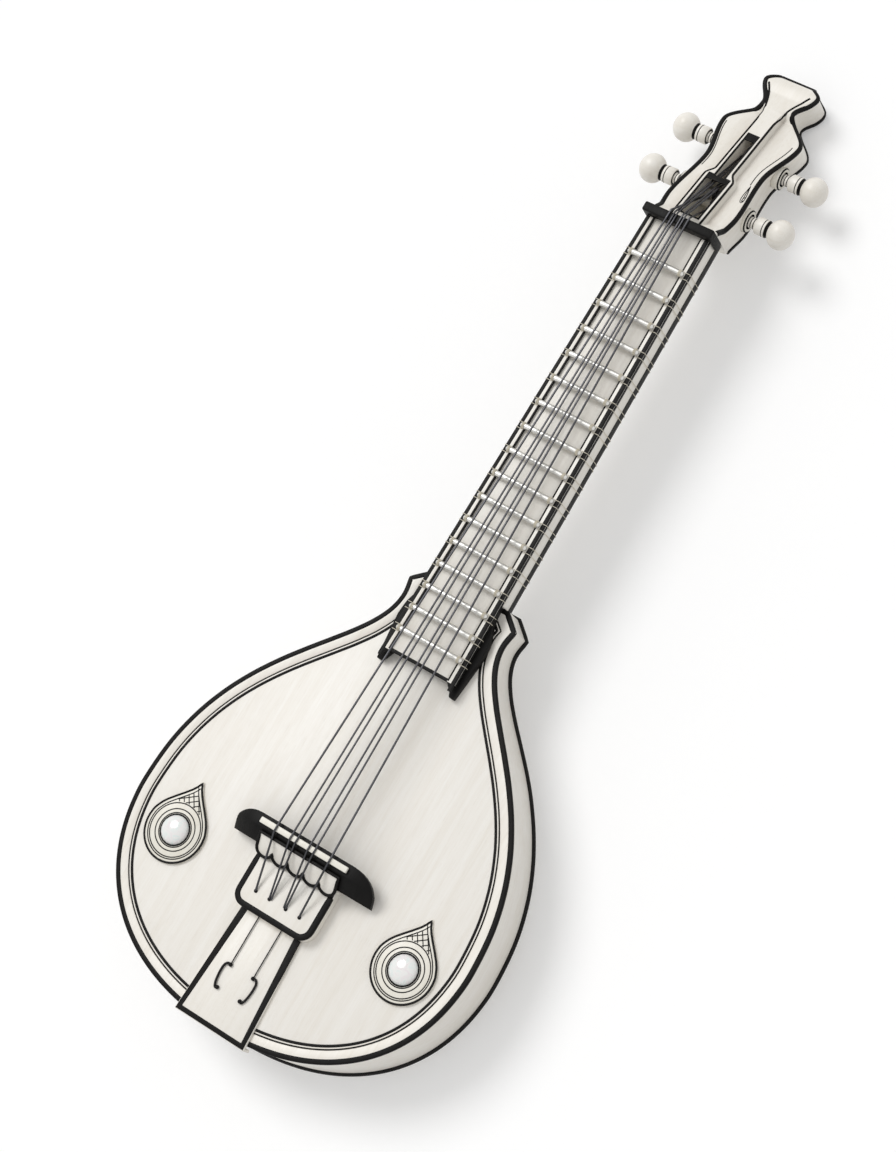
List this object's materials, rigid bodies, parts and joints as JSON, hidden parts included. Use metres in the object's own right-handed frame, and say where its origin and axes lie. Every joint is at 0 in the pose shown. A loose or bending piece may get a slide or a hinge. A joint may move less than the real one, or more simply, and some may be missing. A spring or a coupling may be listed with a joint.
{
  "type": "sitar",
  "caption": "Long-necked plucked string instrument with a teardrop bowl, tied sliding frets, winged bridge, hooked tail plate and a scrolled head with turning tuning pegs",
  "frame": {"origin": "on the flat back, straight under the crest of the bridge", "axes": "+Y along the neck to the head, +Z out of the soundboard, +X to the right seen from the front"},
  "size_m": [0.408, 1.1179, 0.1254],
  "materials": {
    "pale_wood": "satin, pale, fine straight grain",
    "ebony": "polished, near black",
    "bone": "polished bone",
    "pearl": "polished shell",
    "nickel_silver": "polished nickel silver",
    "steel": "drawn wire",
    "black_iron": "blackened, smooth"
  },
  "bodies": {
    "body": {"body_bowl": "pale_wood", "rim_liner": "pale_wood", "soundboard": "pale_wood", "rim_binding": "pale_wood", "purfling": "ebony", "brace_lower": "pale_wood", "brace_upper": "pale_wood", "neck_block": "pale_wood", "tail_block": "pale_wood", "neck": "pale_wood", "fingerboard": "pale_wood", "board_foot": "ebony", "edge_rail_left": "pale_wood", "edge_rail_right": "pale_wood", "nut": "ebony", "headstock": "pale_wood", "peg_bush_lower_left": "bone", "peg_bush_lower_right": "bone", "peg_bush_upper_left": "bone", "peg_bush_upper_right": "bone", "bridge_base": "ebony", "bridge_top": "bone", "string_holder": "pale_wood", "tail_apron": "pale_wood", "tail_plate": "pale_wood", "tail_wire_left": "black_iron", "tail_wire_right": "black_iron", "string_1": "steel", "string_2": "steel", "string_3": "steel", "string_4": "steel", "string_5": "steel", "string_6": "steel", "rosette_left": "pale_wood", "rosette_right": "pale_wood", "rosette_boss_left": "pearl", "rosette_boss_right": "pearl"},
    "peg_lower_left": {"peg_lower_left": "pale_wood"},
    "peg_lower_right": {"peg_lower_right": "pale_wood"},
    "peg_upper_left": {"peg_upper_left": "pale_wood"},
    "peg_upper_right": {"peg_upper_right": "pale_wood"},
    "fret_01": {"fret_01": "nickel_silver"},
    "fret_02": {"fret_02": "nickel_silver"},
    "fret_03": {"fret_03": "nickel_silver"},
    "fret_04": {"fret_04": "nickel_silver"},
    "fret_05": {"fret_05": "nickel_silver"},
    "fret_06": {"fret_06": "nickel_silver"},
    "fret_07": {"fret_07": "nickel_silver"},
    "fret_08": {"fret_08": "nickel_silver"},
    "fret_09": {"fret_09": "nickel_silver"},
    "fret_10": {"fret_10": "nickel_silver"},
    "fret_11": {"fret_11": "nickel_silver"},
    "fret_12": {"fret_12": "nickel_silver"},
    "fret_13": {"fret_13": "nickel_silver"},
    "fret_14": {"fret_14": "nickel_silver"},
    "fret_15": {"fret_15": "nickel_silver"},
    "fret_16": {"fret_16": "nickel_silver"},
    "fret_17": {"fret_17": "nickel_silver"}
  },
  "joints": [
    {"name": "peg_lower_left_turn", "type": "hinge", "parent": "body", "child": "peg_lower_left", "pos_m": [0, 0.7708, 0.05822], "axis": [1, 0, 0], "continuous": true},
    {"name": "peg_lower_right_turn", "type": "hinge", "parent": "body", "child": "peg_lower_right", "pos_m": [0, 0.7588, 0.062], "axis": [1, 0, 0], "continuous": true},
    {"name": "peg_upper_left_turn", "type": "hinge", "parent": "body", "child": "peg_upper_left", "pos_m": [0, 0.8308, 0.03929], "axis": [1, 0, 0], "continuous": true},
    {"name": "peg_upper_right_turn", "type": "hinge", "parent": "body", "child": "peg_upper_right", "pos_m": [0, 0.8188, 0.04308], "axis": [1, 0, 0], "continuous": true},
    {"name": "fret_01_slide", "type": "slide", "parent": "body", "child": "fret_01", "axis": [0, 1, 0], "range_m": [-0.006, 0.006]},
    {"name": "fret_02_slide", "type": "slide", "parent": "body", "child": "fret_02", "axis": [0, 1, 0], "range_m": [-0.006, 0.006]},
    {"name": "fret_03_slide", "type": "slide", "parent": "body", "child": "fret_03", "axis": [0, 1, 0], "range_m": [-0.006, 0.006]},
    {"name": "fret_04_slide", "type": "slide", "parent": "body", "child": "fret_04", "axis": [0, 1, 0], "range_m": [-0.006, 0.006]},
    {"name": "fret_05_slide", "type": "slide", "parent": "body", "child": "fret_05", "axis": [0, 1, 0], "range_m": [-0.006, 0.006]},
    {"name": "fret_06_slide", "type": "slide", "parent": "body", "child": "fret_06", "axis": [0, 1, 0], "range_m": [-0.006, 0.006]},
    {"name": "fret_07_slide", "type": "slide", "parent": "body", "child": "fret_07", "axis": [0, 1, 0], "range_m": [-0.006, 0.006]},
    {"name": "fret_08_slide", "type": "slide", "parent": "body", "child": "fret_08", "axis": [0, 1, 0], "range_m": [-0.006, 0.006]},
    {"name": "fret_09_slide", "type": "slide", "parent": "body", "child": "fret_09", "axis": [0, 1, 0], "range_m": [-0.006, 0.006]},
    {"name": "fret_10_slide", "type": "slide", "parent": "body", "child": "fret_10", "axis": [0, 1, 0], "range_m": [-0.006, 0.006]},
    {"name": "fret_11_slide", "type": "slide", "parent": "body", "child": "fret_11", "axis": [0, 1, 0], "range_m": [-0.006, 0.006]},
    {"name": "fret_12_slide", "type": "slide", "parent": "body", "child": "fret_12", "axis": [0, 1, 0], "range_m": [-0.006, 0.006]},
    {"name": "fret_13_slide", "type": "slide", "parent": "body", "child": "fret_13", "axis": [0, 1, 0], "range_m": [-0.006, 0.006]},
    {"name": "fret_14_slide", "type": "slide", "parent": "body", "child": "fret_14", "axis": [0, 1, 0], "range_m": [-0.006, 0.006]},
    {"name": "fret_15_slide", "type": "slide", "parent": "body", "child": "fret_15", "axis": [0, 1, 0], "range_m": [-0.006, 0.006]},
    {"name": "fret_16_slide", "type": "slide", "parent": "body", "child": "fret_16", "axis": [0, 1, 0], "range_m": [-0.006, 0.006]},
    {"name": "fret_17_slide", "type": "slide", "parent": "body", "child": "fret_17", "axis": [0, 1, 0], "range_m": [-0.006, 0.006]}
  ]
}
